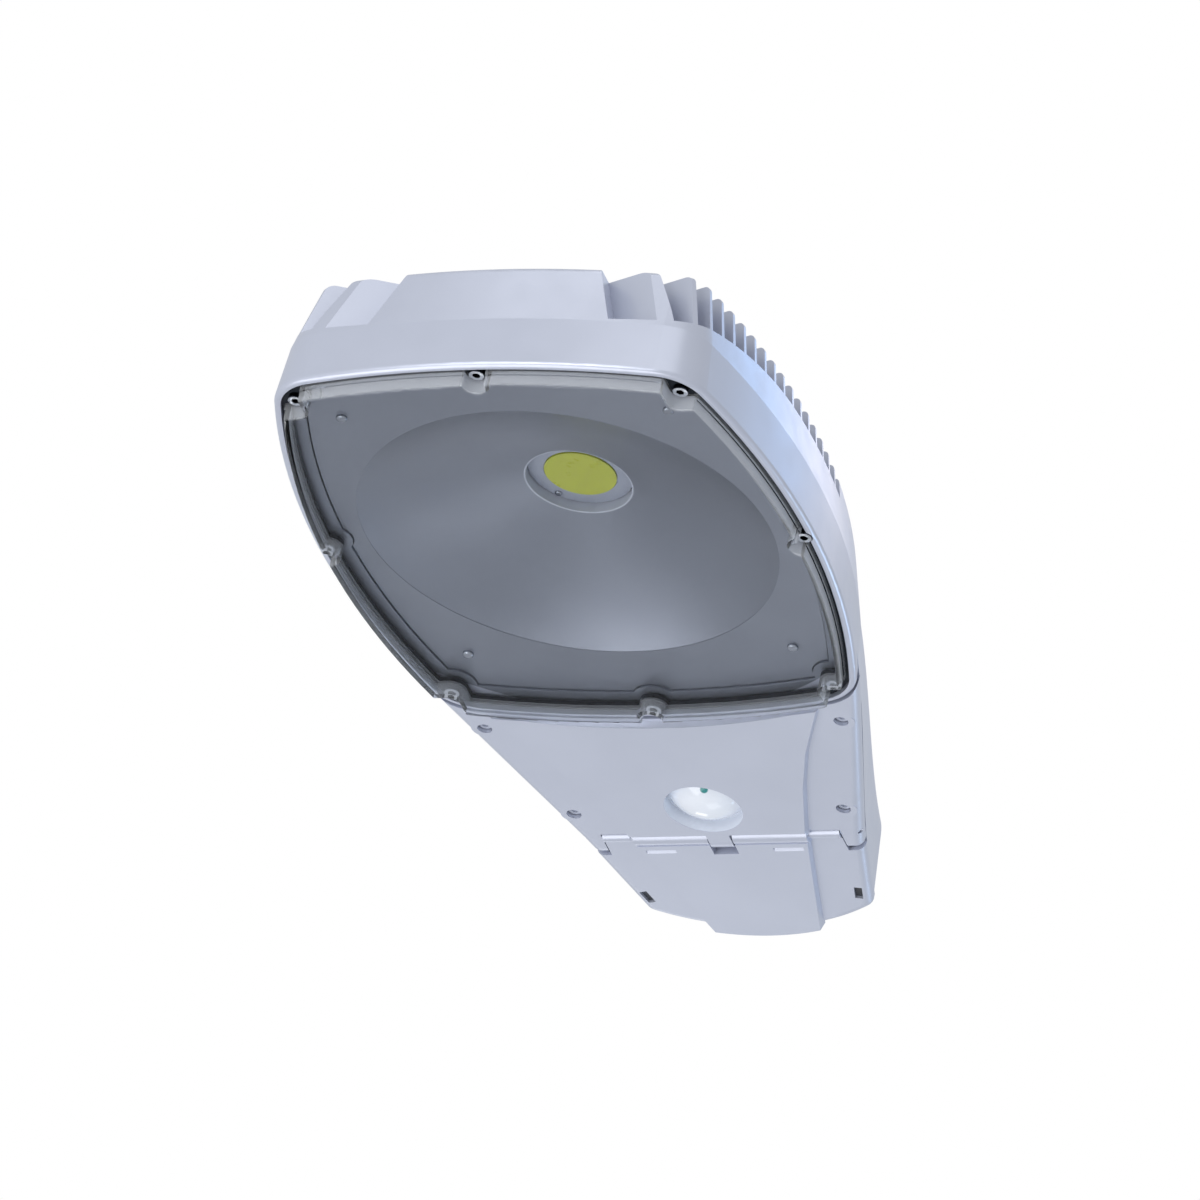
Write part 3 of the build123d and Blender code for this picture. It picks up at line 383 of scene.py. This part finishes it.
# World: an even light on the part, and plain white behind it and behind the window
world = bpy.data.worlds.new("studio")
bpy.context.scene.world = world
world.use_nodes = True
tree = world.node_tree
tree.nodes.clear()
out = tree.nodes.new("ShaderNodeOutputWorld")
lighting = tree.nodes.new("ShaderNodeBackground")
lighting.inputs["Color"].default_value = (0.93, 0.96, 1.0, 1)
lighting.inputs["Strength"].default_value = 0.67
backdrop = tree.nodes.new("ShaderNodeBackground")
backdrop.inputs["Color"].default_value = (1, 1, 1, 1)
backdrop.inputs["Strength"].default_value = 1.0
path = tree.nodes.new("ShaderNodeLightPath")
either = tree.nodes.new("ShaderNodeMath")
either.operation = "MAXIMUM"
mixer = tree.nodes.new("ShaderNodeMixShader")
tree.links.new(path.outputs["Is Camera Ray"], either.inputs[0])
tree.links.new(path.outputs["Is Transmission Ray"], either.inputs[1])
tree.links.new(either.outputs[0], mixer.inputs["Fac"])
tree.links.new(lighting.outputs[0], mixer.inputs[1])
tree.links.new(backdrop.outputs[0], mixer.inputs[2])
tree.links.new(mixer.outputs[0], out.inputs["Surface"])

# Camera: far away and with a long lens, so that it draws nearly without perspective
target = Vector((0.0165, -0.3026, -0.0640))
distance = 25.0
view_width = 0.636
sensor_width = 36
right = Vector((0.9384, 0.2967, 0.1770)).normalized()
back = Vector((0.3449, -0.7747, -0.5299)).normalized()
up = back.cross(right).normalized()
right = up.cross(back).normalized()
cam_data = bpy.data.cameras.new("camera")
cam = bpy.data.objects.new("camera", cam_data)
bpy.context.collection.objects.link(cam)
cam_data.sensor_width = sensor_width
cam_data.lens = sensor_width * distance / view_width
cam_data.clip_end = 200
basis = Matrix((right, up, back)).transposed().to_4x4()
cam.matrix_world = Matrix.Translation(target + back * distance) @ basis
bpy.context.scene.camera = cam

# Soft square lamps round the part: name, direction, distance, size, power and colour
plain = (1, 1, 1)
lamps = (
    ("front_corner", (0.25, -0.78, 0.48), 1.7, 1.3, 3.0, plain),
    ("front", (-0.16, -0.94, -0.10), 1.9, 0.9, 8, (0.95, 0.97, 1.0)),
    ("above_front", (-0.20, -0.45, 0.87), 1.7, 0.5, 0.9, plain),
    ("below_front", (-0.345, -0.38, -0.86), 1.7, 1.6, 13, plain),
    ("below_rear", (0.0, 0.68, -0.73), 1.7, 0.5, 0.6, plain),
    ("low_rear", (-0.35, 0.89, -0.29), 1.7, 0.3, 0.4, plain),
    ("rear_right", (0.51, 0.775, -0.33), 1.7, 0.6, 3.5, (0.52, 0.74, 1.0)),
    ("right_sky", (0.38, 0.60, 0.70), 1.8, 0.5, 1.3, (0.28, 0.56, 1.0)),
    ("rear_glow", (0.17, 0.74, 0.65), 1.8, 0.3, 0.6, (1.0, 0.92, 0.95)),
)
lit_point = Vector((0, -0.28, -0.02))
for name, direction, reach, size, power, colour in lamps:
    data = bpy.data.lights.new(name, "AREA")
    data.size = size
    data.energy = power
    data.color = colour
    lamp = bpy.data.objects.new(name, data)
    bpy.context.collection.objects.link(lamp)
    way = Vector(direction).normalized()
    lamp.location = lit_point + way * reach
    lamp.rotation_euler = way.to_track_quat("Z", "Y").to_euler()

# Floor far below the part
floor_reach = 60
floor_height = -16
floor_corners = [
    (-floor_reach, -floor_reach, 0),
    (floor_reach, -floor_reach, 0),
    (floor_reach, floor_reach, 0),
    (-floor_reach, floor_reach, 0),
]
floor_mesh = bpy.data.meshes.new("floor")
floor_mesh.from_pydata(floor_corners, [], [(0, 1, 2, 3)])
floor = bpy.data.objects.new("floor", floor_mesh)
bpy.context.collection.objects.link(floor)
floor.location = (0, 0, floor_height)
floor_mat, tree, bsdf = new_material("floor")
bsdf.inputs["Base Color"].default_value = (0.9, 0.9, 0.9, 1)
bsdf.inputs["Roughness"].default_value = 0.8
floor_mesh.materials.append(floor_mat)

bpy.context.scene.view_settings.view_transform = "Standard"
